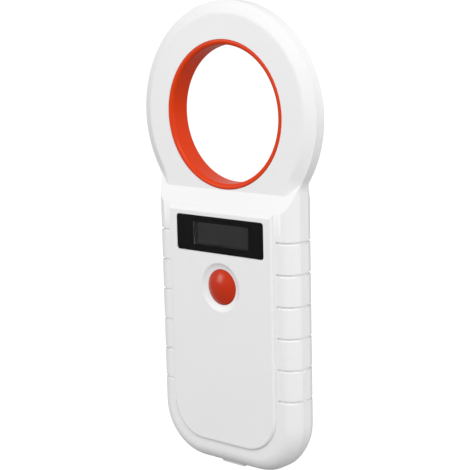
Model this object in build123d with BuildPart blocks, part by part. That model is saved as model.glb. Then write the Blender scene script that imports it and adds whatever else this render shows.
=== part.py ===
"""Handheld reader for animal microchips: a ring antenna on a flat handle, with a display and one button.

Frame: +Z runs up the handle to the ring, the front faces -Y, and X is across. The two casing halves
part at Y = 0, and Z = 0 is under the port cover. A size called front or back is a distance from the
parting plane. All sizes are in millimetres.
"""

import math
import os

from build123d import *

os.makedirs("parts", exist_ok=True)

# Overall sizes
overall_length = 155.4
body_width = 59.6
ring_r = 36.8

# Casing depths, from the parting plane
border_front = 6.5
panel_rise = 0.9
body_back = 7.5
ring_front = 3.9
ring_back = 3.8

# Casing outline and rounding
cover_proud = 0.4
corner_r = 18.0
neck_r = 8.0
front_round = 5.3
back_round = 6.8
ring_bevel = 3.7
ring_bevel_drop = 1.9
ring_face_round = 2.5
ring_edge_round = 1.2

# Raised front panel and the ramp from it to the ring
panel_border = 7.65
panel_bottom_gap = 7.75
panel_corner_r = 12.6
panel_edge_round = 0.75
ramp_run = 7.3
ramp_gap = 0.3
index_mark_length = 2.4
index_mark_width = 0.4
index_mark_depth = 0.15

# Walls
side_wall = 1.8
front_wall = 1.2
back_wall = 1.6
ring_face_wall = 1.5
ring_rim_wall = 3.0
ring_hole_wall = 1.4
cavity_top_gap = 4.6
cavity_top_r = 6.5
lip_height = 0.8
lip_width = 0.7
lip_clear = 0.1

# Liner of the ring
liner_r = 24.4
bore_r = 22.6
liner_front_proud = 0.15
liner_back_proud = 0.1
liner_bore_round = 1.1
liner_edge_round = 0.35
liner_flange_r = 25.2
liner_flange_width = 1.2
liner_clear = 0.06

# Grip grooves
groove_count = 6
groove_width = 1.15
groove_depth = 0.7
groove_inner_gap = 0.85
groove_first_drop = 0.3
groove_last_z = 26.8

# Display
window_width = 37.6
window_height = 12.0
window_thickness = 1.0
window_corner_r = 1.0
window_edge_chamfer = 0.15
window_drop = 7.4
window_clear = 0.08
mask_thickness = 0.2
aperture_width = 24.0
aperture_height = 7.55
aperture_wall_gap = 0.6
display_width = 30.0
display_height = 11.5
display_thickness = 1.45
display_clear = 0.1
display_corner_r = 0.4
foam_inset = 2.5
flex_width = 12.0
flex_thickness = 0.16
flex_loop = 2.0
flex_foam_gap = 0.3

# Button and the switch under it
button_r = 5.92
button_drop = 17.3
button_crown = 1.7
button_clear = 0.15
button_flange_width = 1.2
button_flange_thickness = 0.8
button_post_r = 2.4
button_skin = 0.9
button_travel = 0.3
dish_width = 2.2
switch_size = 5.2
switch_height = 1.45
switch_cover_thickness = 0.25
switch_leg_width = 0.3
switch_leg_height = 2.4
plunger_r = 1.6
plunger_clear = 0.08
plunger_gap = 0.05
plunger_length = 1.1
plunger_chamfer = 0.15

# Circuit board
board_thickness = 1.6
board_front = 2.6
board_side_gap = 5.0
board_bottom_gap = 1.4
board_top_gap = 1.6
board_corner_r = 12.0
board_top_corner_r = 3.0
board_hole_clear = 0.4

# Casing screws, their bosses and the plugs over them
screw_r = 1.0
screw_root_r = 0.78
screw_pitch = 0.6
screw_length = 7.0
screw_head_r = 1.9
screw_head_height = 1.3
screw_recess_r = 0.7
screw_recess_depth = 0.7
screw_clear = 0.2
screw_inset = 9.3
screw_low_z = 16.0
screw_high_drop = 0.0
pilot_clear = 0.03
boss_wall = 1.5
boss_gap = 0.1
head_bore_clear = 0.2
seat_back = 3.4
plug_sink = 0.15
plug_edge_round = 0.25

# Board screws
board_screw_r = 0.8
board_screw_root_r = 0.62
board_screw_length = 3.6
board_screw_head_r = 1.4
board_screw_head_height = 0.9
board_post_r = 2.1
board_screw_x = 17.0
board_screw_z = (30.0, 50.0)

# Antenna
bobbin_wall = 0.8
bobbin_clear = 0.3
coil_clear = 0.05
coil_fill_gap = 0.6
coil_lead_r = 0.2
coil_lead_spread = 1.6
coil_lead_gap = 0.02
coil_lead_tail = 2.5

# Battery, its tape, plug and leads
battery_width = 34.0
battery_bottom_gap = 12.0
battery_top_gap = 7.5
battery_corner_r = 1.6
battery_edge_round = 0.8
tape_thickness = 0.4
tape_inset = 3.0
component_gap = 1.5
battery_lead_r = 0.45
battery_lead_pitch = 2.0
battery_lead_shift = 3.0
battery_lead_bend = 0.3
battery_lead_bend_r = 1.2
header_width = 7.4
header_height = 4.6
header_thickness = 4.0
header_wall = 0.6
header_x = 9.0
plug_clear = 0.1
battery_plug_proud = 1.0

# Buzzer
buzzer_r = 6.0
buzzer_thickness = 5.0
buzzer_hole_r = 0.9
buzzer_x = -9.0
buzzer_round = 0.5

# Charging socket and its cover
socket_width = 7.5
socket_thickness = 2.6
socket_depth = 5.2
socket_wall = 0.3
socket_gap = 0.5
socket_corner_r = 0.5
tongue_thickness = 0.6
tongue_width = 4.4
port_clear = 0.8
cover_width = 10.8
cover_depth = 6.4
cover_thickness = 1.7
cover_clear = 0.15
cover_corner_r = 1.2
cover_edge_round = 0.35
cover_stub_height = 0.5
cover_stub_gap = 0.9
cover_stub_shift = 0.0
cover_stub_round = 0.4
hinge_flat = 0.02
trunnion_r = 0.45
trunnion_length = 0.7
trunnion_clear = 0.06
trunnion_slit = 0.7

# Chips and small parts on the front of the circuit board
chip_stand = 0.1
chip_chamfer = 0.2
chip_pin_pitch = 0.8
chip_pin_width = 0.35
chip_pin_thickness = 0.2
pin_length = 0.9
controller_x = -9.0
controller_gap = 18.0
reader_x = 8.0
reader_gap = 16.0
charger_x = -6.0
charger_z = 20.0
crystal_x = -9.0
crystal_gap = 27.0
crystal_length = 8.0
crystal_width = 3.4
crystal_height = 2.2
crystal_round = 0.5
capacitor_length = 1.7
capacitor_width = 0.9
capacitor_height = 0.8
capacitor_pitch = 1.8

# Blank label on the back
label_width = 30.0
label_height = 20.0
label_thickness = 0.15
label_recess = 0.3
label_corner_r = 1.5
label_clear = 0.25
label_z = 46.0

# Worked out from the sizes above
shell_bottom = cover_proud
body_half = body_width / 2
ring_z = overall_length - ring_r
panel_front = border_front + panel_rise
panel_half = body_half - panel_border
panel_bottom = shell_bottom + panel_bottom_gap
ramp_top = ring_z - liner_r - ramp_gap
ramp_foot = ramp_top - ramp_run
inner_front = border_front - front_wall
inner_back = body_back - back_wall
cavity_bottom = shell_bottom + side_wall
cavity_top = ramp_top - cavity_top_gap
window_z = ramp_foot - window_drop
button_z = window_z - button_drop
groove_first_z = window_z - groove_first_drop
board_back = board_front - board_thickness
board_half = body_half - side_wall - board_side_gap
board_bottom = cavity_bottom + board_bottom_gap
channel_in_r = liner_r + ring_hole_wall
channel_out_r = ring_r - ring_rim_wall
channel_front = ring_front - ring_face_wall
channel_back = ring_back - ring_face_wall
board_top = ring_z - channel_out_r - board_top_gap
screw_x = body_half - screw_inset
screw_high_z = window_z - screw_high_drop
screw_places = [(sx * screw_x, z) for z in (screw_low_z, screw_high_z) for sx in (-1, 1)]
head_bore_r = screw_head_r + head_bore_clear
boss_r = screw_r + boss_wall
back_boss_r = head_bore_r + boss_wall - screw_clear
board_screw_places = [(-board_screw_x, board_screw_z[0]), (board_screw_x, board_screw_z[1])]
connector_z = window_z - header_height / 2
battery_bottom = shell_bottom + battery_bottom_gap
battery_top = connector_z - battery_top_gap
battery_front = board_back - component_gap
battery_back = inner_back - tape_thickness
display_front = inner_front - display_clear
display_rear = display_front - display_thickness
button_flange_back = inner_front - button_flange_thickness
button_top = border_front + button_crown
buzzer_z = window_z - 1.5
controller_z = button_z - controller_gap
reader_z = button_z - reader_gap
crystal_z = button_z - crystal_gap
capacitor_groups = [
    ((controller_x + 7.5, controller_z), 4),
    ((reader_x + 6.0, reader_z), 5),
    ((charger_x + 6.0, charger_z), 3),
]
hinge_r = cover_thickness / 2
hinge_y = cover_depth / 2 - hinge_r
hinge_z = hinge_r
socket_front = board_back
socket_mid_y = -board_back + socket_thickness / 2
socket_bottom = cavity_bottom - side_wall + cover_thickness + cover_stub_height

button_axis = Axis((0, 0, button_z), (0, 1, 0))
ring_axis = Axis((0, 0, ring_z), (0, 1, 0))


def write(builder, name):
    """Label a finished piece and write its STEP file."""
    builder.part.label = name
    export_step(builder.part, f"parts/{name}.step")


# ------------------------------------------------------------------ outlines and shared solids


def outline(inset, with_ring):
    """Face of the casing seen from the front, a distance inside its edge."""
    web_x = body_half + neck_r
    web_drop = math.sqrt((ring_r + neck_r) ** 2 - web_x**2)
    web_turn = math.degrees(math.atan2(web_drop, web_x))
    meet_share = (ring_r - inset) / (ring_r + neck_r)
    meet_x = web_x * meet_share
    meet_z = ring_z - web_drop * meet_share
    corner_x = body_half - corner_r
    corner_z = shell_bottom + corner_r
    with BuildSketch() as face:
        with BuildLine():
            Line((0, shell_bottom + inset), (corner_x, shell_bottom + inset))
            CenterArc((corner_x, corner_z), corner_r - inset, -90, 90)
            Line((body_half - inset, corner_z), (body_half - inset, ring_z - web_drop))
            CenterArc((web_x, ring_z - web_drop), neck_r + inset, 180, -web_turn)
            if with_ring:
                CenterArc((0, ring_z), ring_r - inset, -web_turn, 90 + web_turn)
            else:
                Line((meet_x, meet_z), (0, meet_z))
            mirror(about=Plane.YZ)
        make_face()
    return face.sketch


def outer_face(builder, side):
    """The face furthest from the parting plane; side is 1 in front and -1 behind."""
    return builder.faces().sort_by(Axis.Y)[0 if side > 0 else -1]


def ramp_cutter(side, outer, inner):
    """What is cut away to slope the handle's face down to the ring's face."""
    rise = ramp_run / (outer - inner)
    beyond = outer + panel_rise
    low = ramp_foot - panel_rise * rise
    high = ramp_top + inner * rise
    with BuildPart() as wedge:
        with BuildSketch(Plane.YZ):
            with BuildLine():
                Polyline((-side * beyond, low), (0, high), (-side * beyond, high), close=True)
            make_face()
        extrude(amount=ring_r, both=True)
    return wedge.part


def ring_slab(side, depth):
    """Half of the whole outline at the ring's thickness, with the ring's broad bevel."""
    with BuildPart() as slab:
        with BuildSketch(Plane.XZ):
            add(outline(0, with_ring=True))
        extrude(amount=side * depth)
        face = outer_face(slab, side)
        chamfer(face.edges(), ring_bevel, ring_bevel_drop, reference=face)
        fillet(outer_face(slab, side).edges(), ring_face_round)
    return slab.part


def handle_block(side, depth, rounding, inset=0):
    """Half of the handle at its full thickness, rounded along its outer edge."""
    with BuildPart() as block:
        with BuildSketch(Plane.XZ):
            add(outline(inset, with_ring=False))
        extrude(amount=side * depth)
        rim = outer_face(block, side).edges().sort_by(Axis.Z)
        fillet(rim.filter_by(lambda edge: edge.center().Z < rim[-1].center().Z - 0.01), rounding)
    return block.part


def handle_hollow(side, depth, rounding):
    """The space inside half of the handle."""
    with BuildPart() as hollow:
        with BuildSketch(Plane.XZ):
            with Locations((0, cavity_bottom)):
                Rectangle(
                    2 * (body_half - side_wall),
                    cavity_top - cavity_bottom,
                    align=(Align.CENTER, Align.MIN),
                )
            fillet(vertices().group_by(Axis.Y)[0], corner_r - side_wall)
            fillet(vertices().group_by(Axis.Y)[-1], cavity_top_r)
        extrude(amount=side * depth)
        fillet(outer_face(hollow, side).edges(), rounding)
    return hollow.part


def groove_cutter(side, depth, rounding):
    """Round-ended bars around both edges of the handle, less the core that they stop at."""
    bar_in = panel_half + groove_inner_gap + groove_width / 2
    bar_out = body_half + groove_width
    pitch = (groove_first_z - groove_last_z) / (groove_count - 1)
    mid_z = (groove_first_z + groove_last_z) / 2
    with BuildPart() as bars:
        with BuildSketch(Plane.XZ):
            for sign in (-1, 1):
                with Locations((sign * (bar_in + bar_out) / 2, mid_z)):
                    with GridLocations(0, pitch, 1, groove_count):
                        SlotCenterToCenter(bar_out - bar_in, groove_width)
        extrude(amount=side * (depth + groove_depth))
        core = handle_block(side, depth - groove_depth, rounding - groove_depth, groove_depth)
        add(core, mode=Mode.SUBTRACT)
    return bars.part


def ring_channel(side, depth):
    """The round channel for the antenna."""
    with BuildPart() as channel:
        with BuildSketch(Plane.XZ):
            with Locations((0, ring_z)):
                Circle(channel_out_r)
                Circle(channel_in_r, mode=Mode.SUBTRACT)
        extrude(amount=side * depth)
    return channel.part


def liner_hole():
    """The hole for the liner, with room for the liner's flange where the halves meet."""
    with BuildPart() as hole:
        with BuildSketch(Plane.XZ):
            with Locations((0, ring_z)):
                Circle(liner_r + liner_clear)
        extrude(amount=body_back + panel_front, both=True)
        with BuildSketch(Plane.XZ):
            with Locations((0, ring_z)):
                Circle(liner_flange_r + liner_clear)
        extrude(amount=liner_flange_width / 2 + liner_clear, both=True)
    return hole.part


def port_opening():
    """The charging port's opening, the seat of its cover and the slots of the cover's trunnions."""
    seat_corner_r = cover_corner_r + cover_clear
    with BuildPart() as opening:
        with BuildSketch(Plane.XY):
            with Locations((0, socket_mid_y)):
                RectangleRounded(
                    socket_width + 2 * port_clear,
                    socket_thickness + 2 * port_clear,
                    port_clear,
                )
        extrude(amount=cavity_bottom + side_wall)
        with BuildSketch(Plane.XY):
            Rectangle(cover_width + 2 * cover_clear, cover_depth + 2 * cover_clear)
            fillet(vertices().group_by(Axis.Y)[0], seat_corner_r)
        extrude(amount=cover_thickness + cover_clear)
        with BuildSketch(Plane.YZ):
            with Locations((hinge_y, hinge_z)):
                Circle(trunnion_r + trunnion_clear)
                Rectangle(trunnion_slit, 2 * hinge_z, align=(Align.CENTER, Align.MAX))
        extrude(amount=cover_width / 2 + trunnion_length + trunnion_clear, both=True)
    return opening.part


# ------------------------------------------------------------------ front casing

with BuildPart() as raised_panel:
    with BuildSketch(Plane.XZ):
        with Locations((0, panel_bottom)):
            Rectangle(
                2 * panel_half, ramp_top - panel_bottom, align=(Align.CENTER, Align.MIN)
            )
        fillet(vertices().group_by(Axis.Y)[0], panel_corner_r)
    extrude(amount=panel_front)
    add(ramp_cutter(1, panel_front, ring_front), mode=Mode.SUBTRACT)
    fillet(outer_face(raised_panel, 1).edges(), panel_edge_round)

with BuildPart() as tongue:
    with BuildSketch(Plane.XZ.offset(-lip_height)):
        add(outline(side_wall - lip_width, with_ring=False))
        add(outline(side_wall, with_ring=False), mode=Mode.SUBTRACT)
        with Locations((0, cavity_top - cavity_top_r)):
            Rectangle(2 * ring_r, ring_r, align=(Align.CENTER, Align.MIN), mode=Mode.SUBTRACT)
    extrude(amount=lip_height)

with BuildPart() as button_dish:
    with BuildSketch(Plane.XY.offset(button_z)):
        dish_in = button_r + button_clear
        dish_out = dish_in + dish_width
        with BuildLine():
            RadiusArc((dish_in, -border_front), (dish_out, -panel_front), 2 * dish_width)
            Polyline(
                (dish_out, -panel_front),
                (0, -panel_front),
                (0, -border_front),
                (dish_in, -border_front),
            )
        make_face()
    revolve(axis=button_axis)

with BuildPart() as front_shell:
    add(handle_block(1, border_front, front_round))
    add(ramp_cutter(1, panel_front, ring_front), mode=Mode.SUBTRACT)
    add(raised_panel.part)
    add(ring_slab(1, ring_front))
    add(handle_hollow(1, inner_front, front_round - side_wall + 0.4), mode=Mode.SUBTRACT)
    add(ring_channel(1, channel_front), mode=Mode.SUBTRACT)
    # bosses for the casing screws and posts for the circuit board
    with BuildSketch(Plane.XZ):
        with Locations(*screw_places):
            Circle(boss_r)
    extrude(amount=inner_front)
    with BuildSketch(Plane.XZ.offset(board_front)):
        with Locations(*board_screw_places):
            Circle(board_post_r)
    extrude(amount=inner_front - board_front)
    with BuildSketch(Plane.XZ):
        with Locations(*screw_places):
            Circle(screw_r + pilot_clear)
    extrude(amount=screw_length - seat_back + screw_pitch, mode=Mode.SUBTRACT)
    with BuildSketch(Plane.XZ.offset(board_front)):
        with Locations(*board_screw_places):
            Circle(board_screw_r + pilot_clear)
    extrude(amount=board_screw_length - board_thickness + pilot_clear, mode=Mode.SUBTRACT)
    # seat of the display window, with an opening behind it
    with BuildSketch(Plane.XZ.offset(panel_front)):
        with Locations((0, window_z)):
            RectangleRounded(
                window_width + 2 * window_clear,
                window_height + 2 * window_clear,
                window_corner_r + window_clear,
            )
    extrude(amount=-(window_thickness + mask_thickness), mode=Mode.SUBTRACT)
    with BuildSketch(Plane.XZ):
        with Locations((0, window_z)):
            Rectangle(
                aperture_width + 2 * aperture_wall_gap,
                aperture_height + 2 * aperture_wall_gap,
            )
    extrude(amount=panel_front, mode=Mode.SUBTRACT)
    # button hole in its shallow dish
    with BuildSketch(Plane.XZ):
        with Locations((0, button_z)):
            Circle(button_r + button_clear)
    extrude(amount=panel_front, mode=Mode.SUBTRACT)
    add(button_dish.part, mode=Mode.SUBTRACT)
    add(liner_hole(), mode=Mode.SUBTRACT)
    add(groove_cutter(1, border_front, front_round), mode=Mode.SUBTRACT)
    add(tongue.part)
    add(port_opening(), mode=Mode.SUBTRACT)
write(front_shell, "front_shell")

# ------------------------------------------------------------------ rear casing

with BuildPart() as rear_shell:
    add(handle_block(-1, body_back, back_round))
    add(ramp_cutter(-1, body_back, ring_back), mode=Mode.SUBTRACT)
    add(ring_slab(-1, ring_back))
    add(handle_hollow(-1, inner_back, back_round - side_wall), mode=Mode.SUBTRACT)
    add(ring_channel(-1, channel_back), mode=Mode.SUBTRACT)
    # screw bosses, with a seat for each head and its plug
    with BuildSketch(Plane.XZ.offset(-boss_gap)):
        with Locations(*screw_places):
            Circle(back_boss_r)
    extrude(amount=boss_gap - inner_back)
    with BuildSketch(Plane.XZ):
        with Locations(*screw_places):
            Circle(screw_r + screw_clear)
    extrude(amount=-body_back, mode=Mode.SUBTRACT)
    with BuildSketch(Plane.XZ.offset(-seat_back)):
        with Locations(*screw_places):
            Circle(head_bore_r)
    extrude(amount=seat_back - body_back, mode=Mode.SUBTRACT)
    # shallow seat for the label
    with BuildSketch(Plane.XZ.offset(-body_back)):
        with Locations((0, label_z)):
            RectangleRounded(
                label_width + 2 * label_clear,
                label_height + 2 * label_clear,
                label_corner_r + label_clear,
            )
    extrude(amount=label_recess, mode=Mode.SUBTRACT)
    # rebate for the front half's tongue
    with BuildSketch(Plane.XZ.offset(-lip_height - lip_clear)):
        add(outline(side_wall - lip_width - lip_clear, with_ring=False))
        add(outline(side_wall + lip_clear, with_ring=False), mode=Mode.SUBTRACT)
        with Locations((0, cavity_top - cavity_top_r + lip_clear)):
            Rectangle(2 * ring_r, ring_r, align=(Align.CENTER, Align.MIN), mode=Mode.SUBTRACT)
    extrude(amount=lip_height + lip_clear, mode=Mode.SUBTRACT)
    add(liner_hole(), mode=Mode.SUBTRACT)
    add(groove_cutter(-1, body_back, back_round), mode=Mode.SUBTRACT)
    add(port_opening(), mode=Mode.SUBTRACT)
write(rear_shell, "rear_shell")

with BuildPart() as rear_label:
    with BuildSketch(Plane.XZ.offset(label_recess - body_back)):
        with Locations((0, label_z)):
            RectangleRounded(label_width, label_height, label_corner_r)
    extrude(amount=-label_thickness)
write(rear_label, "rear_label")

# ------------------------------------------------------------------ ring liner and antenna

with BuildPart() as ring_liner:
    with BuildSketch(Plane.XY.offset(ring_z)):
        sleeve_depth = ring_front + ring_back + liner_front_proud + liner_back_proud
        sleeve_mid_y = (ring_back + liner_back_proud - ring_front - liner_front_proud) / 2
        with Locations(((bore_r + liner_r) / 2, sleeve_mid_y)):
            Rectangle(liner_r - bore_r, sleeve_depth)
        fillet(vertices().group_by(Axis.X)[0], liner_bore_round)
        fillet(vertices().group_by(Axis.X)[-1], liner_edge_round)
        with Locations(((bore_r + liner_flange_r) / 2, 0)):
            Rectangle(liner_flange_r - bore_r, liner_flange_width)
    revolve(axis=ring_axis)
write(ring_liner, "ring_liner")

with BuildPart() as antenna_bobbin:
    with BuildSketch(Plane.XY.offset(ring_z)):
        bobbin_in = channel_in_r + bobbin_clear
        bobbin_out = channel_out_r - bobbin_clear
        bobbin_mid_y = (channel_back - channel_front) / 2
        bobbin_depth = channel_front + channel_back - 2 * bobbin_clear
        with Locations(((bobbin_in + bobbin_out) / 2, bobbin_mid_y)):
            Rectangle(bobbin_out - bobbin_in, bobbin_depth)
        with Locations(((bobbin_in + bobbin_out) / 2 + bobbin_wall, bobbin_mid_y)):
            Rectangle(
                bobbin_out - bobbin_in, bobbin_depth - 2 * bobbin_wall, mode=Mode.SUBTRACT
            )
    revolve(axis=ring_axis)
write(antenna_bobbin, "antenna_bobbin")

coil_in = bobbin_in + bobbin_wall + coil_clear
coil_out = bobbin_out - coil_fill_gap
with BuildPart() as antenna_coil:
    with BuildSketch(Plane.XY.offset(ring_z)):
        coil_depth = bobbin_depth - 2 * bobbin_wall - 2 * coil_clear
        with Locations(((coil_in + coil_out) / 2, bobbin_mid_y)):
            Rectangle(coil_out - coil_in, coil_depth)
        fillet(vertices().group_by(Axis.X)[-1], coil_depth / 4)
    revolve(axis=ring_axis)
write(antenna_coil, "antenna_coil")

coil_edge_z = ring_z - math.sqrt(coil_out**2 - coil_lead_spread**2)
with BuildPart() as coil_leads:
    with BuildSketch(Plane.XY.offset(board_top - coil_lead_tail)):
        with Locations((0, coil_lead_r + coil_lead_gap - board_back)):
            with GridLocations(2 * coil_lead_spread, 0, 2, 1):
                Circle(coil_lead_r)
    extrude(amount=coil_edge_z - coil_lead_gap - board_top + coil_lead_tail)
write(coil_leads, "coil_leads")

# ------------------------------------------------------------------ display

with BuildPart() as display_window:
    with BuildSketch(Plane.XZ.offset(panel_front - window_thickness)):
        with Locations((0, window_z)):
            RectangleRounded(window_width, window_height, window_corner_r)
    extrude(amount=window_thickness)
    chamfer(outer_face(display_window, 1).edges(), window_edge_chamfer)
write(display_window, "display_window")

with BuildPart() as window_mask:
    with BuildSketch(Plane.XZ.offset(panel_front - window_thickness - mask_thickness)):
        with Locations((0, window_z)):
            RectangleRounded(window_width, window_height, window_corner_r)
            Rectangle(aperture_width, aperture_height, mode=Mode.SUBTRACT)
    extrude(amount=mask_thickness)
write(window_mask, "window_mask")

with BuildPart() as display_panel:
    with BuildSketch(Plane.XZ.offset(display_rear)):
        with Locations((0, window_z)):
            RectangleRounded(display_width, display_height, display_corner_r)
    extrude(amount=display_thickness)
write(display_panel, "display_panel")

with BuildPart() as display_foam:
    with BuildSketch(Plane.XZ.offset(board_front)):
        with Locations((0, window_z)):
            Rectangle(display_width - 2 * foam_inset, display_height - 2 * foam_inset)
    extrude(amount=display_rear - board_front)
write(display_foam, "display_foam")

with BuildPart() as display_flex:
    flex_top_y = flex_thickness / 2 - display_rear
    flex_board_y = -board_front - flex_thickness / 2
    flex_mid_y = (flex_top_y + flex_board_y) / 2
    flex_bend_r = (flex_board_y - flex_top_y) / 2
    flex_start_z = window_z - display_height / 2 + foam_inset - flex_foam_gap
    flex_bend_z = window_z - display_height / 2 - flex_loop
    with BuildSketch(Plane.YZ):
        with Locations((flex_mid_y, flex_bend_z)):
            Circle(flex_bend_r + flex_thickness / 2)
            Circle(flex_bend_r - flex_thickness / 2, mode=Mode.SUBTRACT)
            Rectangle(
                4 * flex_bend_r,
                2 * flex_bend_r,
                align=(Align.CENTER, Align.MIN),
                mode=Mode.SUBTRACT,
            )
        for strip_y in (flex_top_y, flex_board_y):
            with Locations((strip_y, (flex_start_z + flex_bend_z) / 2)):
                Rectangle(flex_thickness, flex_start_z - flex_bend_z)
    extrude(amount=flex_width / 2, both=True)
write(display_flex, "display_flex")

# ------------------------------------------------------------------ button and its switch

with BuildPart() as button_cap:
    with BuildSketch(Plane.XY.offset(button_z)):
        flange_r = button_r + button_clear + button_flange_width
        well_r = button_r - button_skin
        well_front = border_front - button_skin
        crown_r = (button_r**2 + button_crown**2) / (2 * button_crown)
        mid_front = button_top - crown_r + math.sqrt(crown_r**2 - (button_r / 2) ** 2)
        with BuildLine():
            Polyline(
                (0, -button_flange_back),
                (flange_r, -button_flange_back),
                (flange_r, -inner_front),
                (button_r, -inner_front),
                (button_r, -border_front),
            )
            ThreePointArc(
                (button_r, -border_front), (button_r / 2, -mid_front), (0, -button_top)
            )
            Line((0, -button_top), (0, -button_flange_back))
        make_face()
        with Locations(((well_r + button_post_r) / 2, -(button_flange_back + well_front) / 2)):
            Rectangle(
                well_r - button_post_r, well_front - button_flange_back, mode=Mode.SUBTRACT
            )
    revolve(axis=button_axis)
write(button_cap, "button_cap")

plunger_front = button_flange_back - plunger_gap
switch_front = board_front + switch_height
well_depth = plunger_length - (plunger_front - switch_front) + button_travel + plunger_clear
with BuildPart() as switch_body:
    with BuildSketch(Plane.XZ.offset(board_front)):
        with Locations((0, button_z)):
            RectangleRounded(switch_size, switch_size, switch_cover_thickness)
    extrude(amount=switch_height - switch_cover_thickness)
    with BuildSketch(Plane.XZ.offset(switch_front - well_depth)):
        with Locations((0, button_z)):
            Circle(plunger_r + plunger_clear)
    extrude(amount=well_depth, mode=Mode.SUBTRACT)
write(switch_body, "switch_body")

with BuildPart() as switch_cover:
    with BuildSketch(Plane.XZ.offset(switch_front - switch_cover_thickness)):
        with Locations((0, button_z)):
            RectangleRounded(switch_size, switch_size, switch_cover_thickness)
            Circle(plunger_r + plunger_clear, mode=Mode.SUBTRACT)
    extrude(amount=switch_cover_thickness)
    # legs that are soldered to the board on both sides
    with BuildSketch(Plane.XZ.offset(board_front)):
        with Locations((0, button_z)):
            with GridLocations(switch_size + switch_leg_width, 0, 2, 1):
                Rectangle(switch_leg_width, switch_leg_height)
    extrude(amount=switch_height)
write(switch_cover, "switch_cover")

with BuildPart() as switch_plunger:
    with BuildSketch(Plane.XZ.offset(plunger_front - plunger_length)):
        with Locations((0, button_z)):
            Circle(plunger_r)
    extrude(amount=plunger_length)
    chamfer(outer_face(switch_plunger, 1).edges(), plunger_chamfer)
write(switch_plunger, "switch_plunger")

# ------------------------------------------------------------------ circuit board and what is on it

with BuildPart() as circuit_board:
    with BuildSketch(Plane.XZ.offset(board_back)):
        with Locations((0, board_bottom)):
            Rectangle(2 * board_half, board_top - board_bottom, align=(Align.CENTER, Align.MIN))
        fillet(vertices().group_by(Axis.Y)[0], board_corner_r)
        fillet(vertices().group_by(Axis.Y)[-1], board_top_corner_r)
        with Locations(*screw_places):
            Circle(boss_r + board_hole_clear, mode=Mode.SUBTRACT)
        with Locations(*board_screw_places):
            Circle(board_screw_r + screw_clear, mode=Mode.SUBTRACT)
    extrude(amount=board_thickness)
write(circuit_board, "circuit_board")


def chip(x, z, face, side, width, height, thickness, pins, pin_sides):
    """A moulded chip with gull-wing pins; face is the board's surface and side is 1 in front."""
    with BuildPart() as package:
        with BuildSketch(Plane.XZ.offset(face + side * chip_stand)):
            with Locations((x, z)):
                Rectangle(width, height)
        extrude(amount=side * (thickness - chip_stand))
        chamfer(outer_face(package, side).edges(), chip_chamfer)
        with BuildSketch(Plane.XZ.offset(face)):
            with Locations((x, z)):
                with GridLocations(width + pin_length, chip_pin_pitch, 2, pins):
                    Rectangle(pin_length + chip_chamfer, chip_pin_width)
                if pin_sides == 4:
                    with GridLocations(chip_pin_pitch, height + pin_length, pins, 2):
                        Rectangle(chip_pin_width, pin_length + chip_chamfer)
        extrude(amount=side * (chip_stand + chip_pin_thickness))
    return package.part


with BuildPart() as controller_chip:
    add(chip(controller_x, controller_z, board_front, 1, 7.0, 7.0, 1.4, 7, 4))
write(controller_chip, "controller_chip")

with BuildPart() as reader_chip:
    add(chip(reader_x, reader_z, board_front, 1, 4.0, 8.6, 1.5, 7, 2))
write(reader_chip, "reader_chip")

with BuildPart() as charger_chip:
    add(chip(charger_x, charger_z, board_front, 1, 4.0, 5.0, 1.4, 4, 2))
write(charger_chip, "charger_chip")

with BuildPart() as crystal:
    with BuildSketch(Plane.XZ.offset(board_front)):
        with Locations((crystal_x, crystal_z)):
            SlotOverall(crystal_length, crystal_width)
    extrude(amount=crystal_height)
    fillet(outer_face(crystal, 1).edges(), crystal_round)
write(crystal, "crystal")

with BuildPart() as chip_capacitors:
    with BuildSketch(Plane.XZ.offset(board_front)):
        for centre, rows in capacitor_groups:
            with Locations(centre):
                with GridLocations(0, capacitor_pitch, 1, rows):
                    Rectangle(capacitor_length, capacitor_width)
    extrude(amount=capacitor_height)
write(chip_capacitors, "chip_capacitors")

with BuildPart() as buzzer:
    with BuildSketch(Plane.XZ.offset(board_back)):
        with Locations((buzzer_x, buzzer_z)):
            Circle(buzzer_r)
    extrude(amount=-buzzer_thickness)
    fillet(outer_face(buzzer, -1).edges(), buzzer_round)
    with BuildSketch(Plane.XZ.offset(board_back - buzzer_thickness)):
        with Locations((buzzer_x, buzzer_z)):
            Circle(buzzer_hole_r)
    extrude(amount=buzzer_thickness / 2, mode=Mode.SUBTRACT)
write(buzzer, "buzzer")

# ------------------------------------------------------------------ battery and its connection

with BuildPart() as battery:
    with BuildSketch(Plane.XZ.offset(battery_front)):
        with Locations((0, battery_bottom)):
            Rectangle(
                battery_width, battery_top - battery_bottom, align=(Align.CENTER, Align.MIN)
            )
        fillet(vertices(), battery_corner_r)
    extrude(amount=-(battery_front + battery_back))
    fillet(battery.faces().filter_by(Axis.Y).edges(), battery_edge_round)
write(battery, "battery")

with BuildPart() as battery_tape:
    with BuildSketch(Plane.XZ.offset(-battery_back)):
        with Locations((0, battery_bottom + tape_inset)):
            Rectangle(
                battery_width - 2 * tape_inset,
                battery_top - battery_bottom - 2 * tape_inset,
                align=(Align.CENTER, Align.MIN),
            )
    extrude(amount=-tape_thickness)
write(battery_tape, "battery_tape")

header_bottom = connector_z - header_height / 2
with BuildPart() as battery_socket:
    with BuildSketch(Plane.XZ.offset(board_back)):
        with Locations((header_x, connector_z)):
            Rectangle(header_width, header_height)
    extrude(amount=-header_thickness)
    with BuildSketch(Plane.XY.offset(header_bottom)):
        with Locations((header_x, header_thickness / 2 - board_back)):
            Rectangle(header_width - 2 * header_wall, header_thickness - 2 * header_wall)
    extrude(amount=header_height - header_wall, mode=Mode.SUBTRACT)
write(battery_socket, "battery_socket")

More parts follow.
